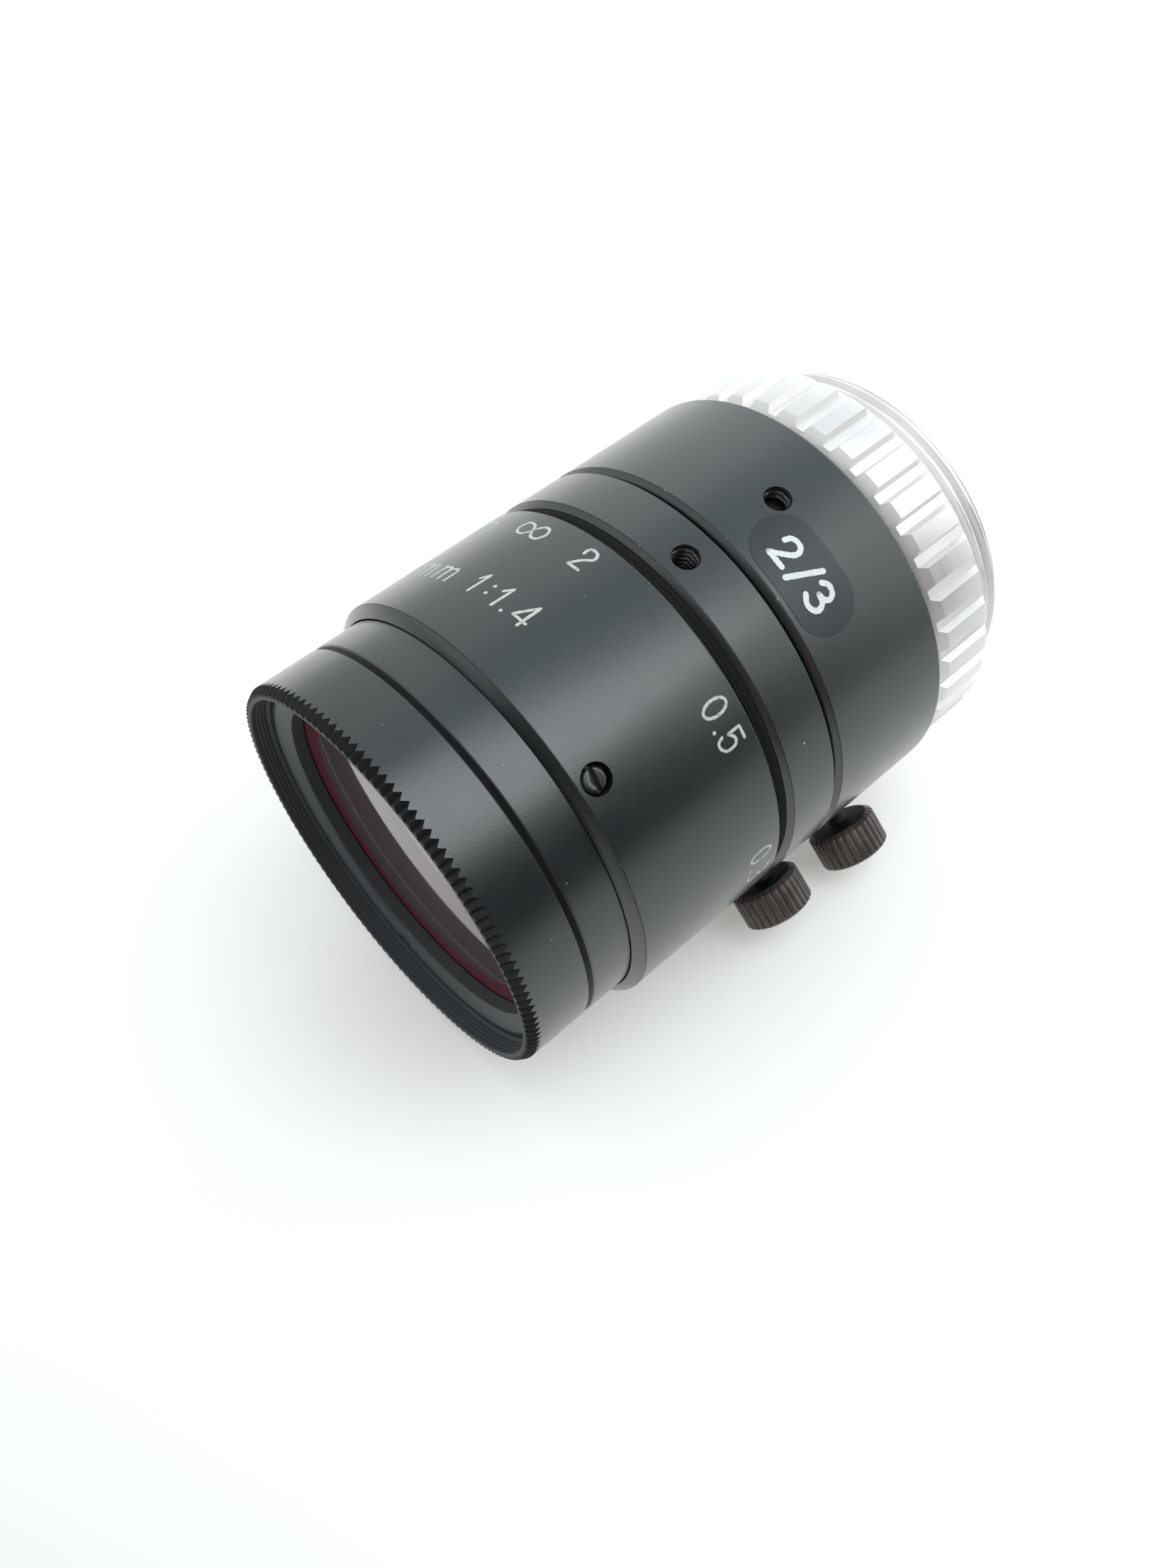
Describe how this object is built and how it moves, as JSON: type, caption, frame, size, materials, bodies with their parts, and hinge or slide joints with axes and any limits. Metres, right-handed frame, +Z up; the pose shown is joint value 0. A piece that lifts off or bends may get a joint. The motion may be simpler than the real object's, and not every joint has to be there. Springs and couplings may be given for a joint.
{
  "type": "c-mount machine vision lens",
  "caption": "Compact fixed focal length lens with focus and iris rings held by thumbscrews, coated front glass and a fluted one inch threaded camera mount.",
  "frame": {"origin": "centre of the bounding box on the ground plane that the barrel and the lock screw heads rest on", "axes": "+Y along the optical axis from the front glass to the camera mount, +Z up, +X towards the lock screws"},
  "size_m": [0.0305, 0.0442, 0.0295],
  "materials": {
    "barrel_black": "satin black anodised",
    "ring_grey": "grey anodised, fine turned",
    "mount_bright": "bright turned",
    "screw_dark": "blackened, straight knurl",
    "inner_matt": "matt black anodised",
    "blade_steel": "blackened spring steel",
    "glass": "coated and polished"
  },
  "bodies": {
    "main_body": {"main_barrel": "barrel_black", "focus_guide_screw": "screw_dark", "iris_cage": "inner_matt", "iris_retaining_ring": "inner_matt", "mount_ring": "mount_bright", "rear_cell": "inner_matt", "rear_element_1": "glass", "rear_spacer": "inner_matt", "rear_element_2": "glass", "rear_retaining_ring": "inner_matt"},
    "lens_tube": {"front_barrel": "barrel_black", "front_retaining_ring": "ring_grey", "front_element": "glass", "second_element": "glass", "middle_spacer": "inner_matt", "third_element": "glass", "fourth_element": "glass", "tube_retaining_ring": "inner_matt"},
    "focus_ring": {"focus_ring": "barrel_black", "focus_set_screw_1": "screw_dark", "focus_set_screw_2": "screw_dark", "focus_set_screw_3": "screw_dark"},
    "focus_lock_screw": {"focus_lock_screw": "screw_dark"},
    "iris_ring": {"iris_ring": "barrel_black", "iris_drive_screw": "screw_dark", "iris_cam_ring": "blade_steel"},
    "iris_lock_screw": {"iris_lock_screw": "screw_dark"},
    "iris_blade_1": {"iris_blade_1": "blade_steel"},
    "iris_blade_2": {"iris_blade_2": "blade_steel"},
    "iris_blade_3": {"iris_blade_3": "blade_steel"},
    "iris_blade_4": {"iris_blade_4": "blade_steel"},
    "iris_blade_5": {"iris_blade_5": "blade_steel"}
  },
  "joints": [
    {"name": "focus_travel", "type": "slide", "parent": "main_body", "child": "lens_tube", "axis": [0, 1, 0], "range_m": [0, 0.0008]},
    {"name": "focus_turn", "type": "hinge", "parent": "lens_tube", "child": "focus_ring", "pos_m": [-0.00058, -0.00825, 0.01475], "axis": [0, 1, 0], "range_deg": [0, 142]},
    {"name": "focus_lock_turn", "type": "hinge", "parent": "main_body", "child": "focus_lock_screw", "pos_m": [0.01268, 0.00045, 0.00272], "axis": [0.7406, 0, -0.672], "range_deg": [0, 360]},
    {"name": "iris_turn", "type": "hinge", "parent": "main_body", "child": "iris_ring", "pos_m": [-0.00058, 0.008, 0.01475], "axis": [0, 1, 0], "range_deg": [-54, 0]},
    {"name": "iris_lock_turn", "type": "hinge", "parent": "iris_ring", "child": "iris_lock_screw", "pos_m": [0.01268, 0.00785, 0.00272], "axis": [0.7406, 0, -0.672], "range_deg": [0, 360]},
    {"name": "blade_1_turn", "type": "hinge", "parent": "main_body", "child": "iris_blade_1", "pos_m": [-0.00259, 0.00565, 0.00506], "axis": [0, 1, 0], "range_deg": [-24.5, 0]},
    {"name": "blade_2_turn", "type": "hinge", "parent": "main_body", "child": "iris_blade_2", "pos_m": [-0.01042, 0.0062, 0.01367], "axis": [0, 1, 0], "range_deg": [-24.5, 0]},
    {"name": "blade_3_turn", "type": "hinge", "parent": "main_body", "child": "iris_blade_3", "pos_m": [-0.00465, 0.00675, 0.02377], "axis": [0, 1, 0], "range_deg": [-24.5, 0]},
    {"name": "blade_4_turn", "type": "hinge", "parent": "main_body", "child": "iris_blade_4", "pos_m": [0.00675, 0.0073, 0.02141], "axis": [0, 1, 0], "range_deg": [-24.5, 0]},
    {"name": "blade_5_turn", "type": "hinge", "parent": "main_body", "child": "iris_blade_5", "pos_m": [0.00802, 0.00785, 0.00984], "axis": [0, 1, 0], "range_deg": [-24.5, 0]}
  ],
  "couplings": [
    {"joint": "focus_turn", "follows": "focus_travel", "rad_per_m": 3097.9},
    {"joint": "blade_1_turn", "follows": "iris_turn", "ratio": 0.4537},
    {"joint": "blade_2_turn", "follows": "iris_turn", "ratio": 0.4537},
    {"joint": "blade_3_turn", "follows": "iris_turn", "ratio": 0.4537},
    {"joint": "blade_4_turn", "follows": "iris_turn", "ratio": 0.4537},
    {"joint": "blade_5_turn", "follows": "iris_turn", "ratio": 0.4537}
  ]
}
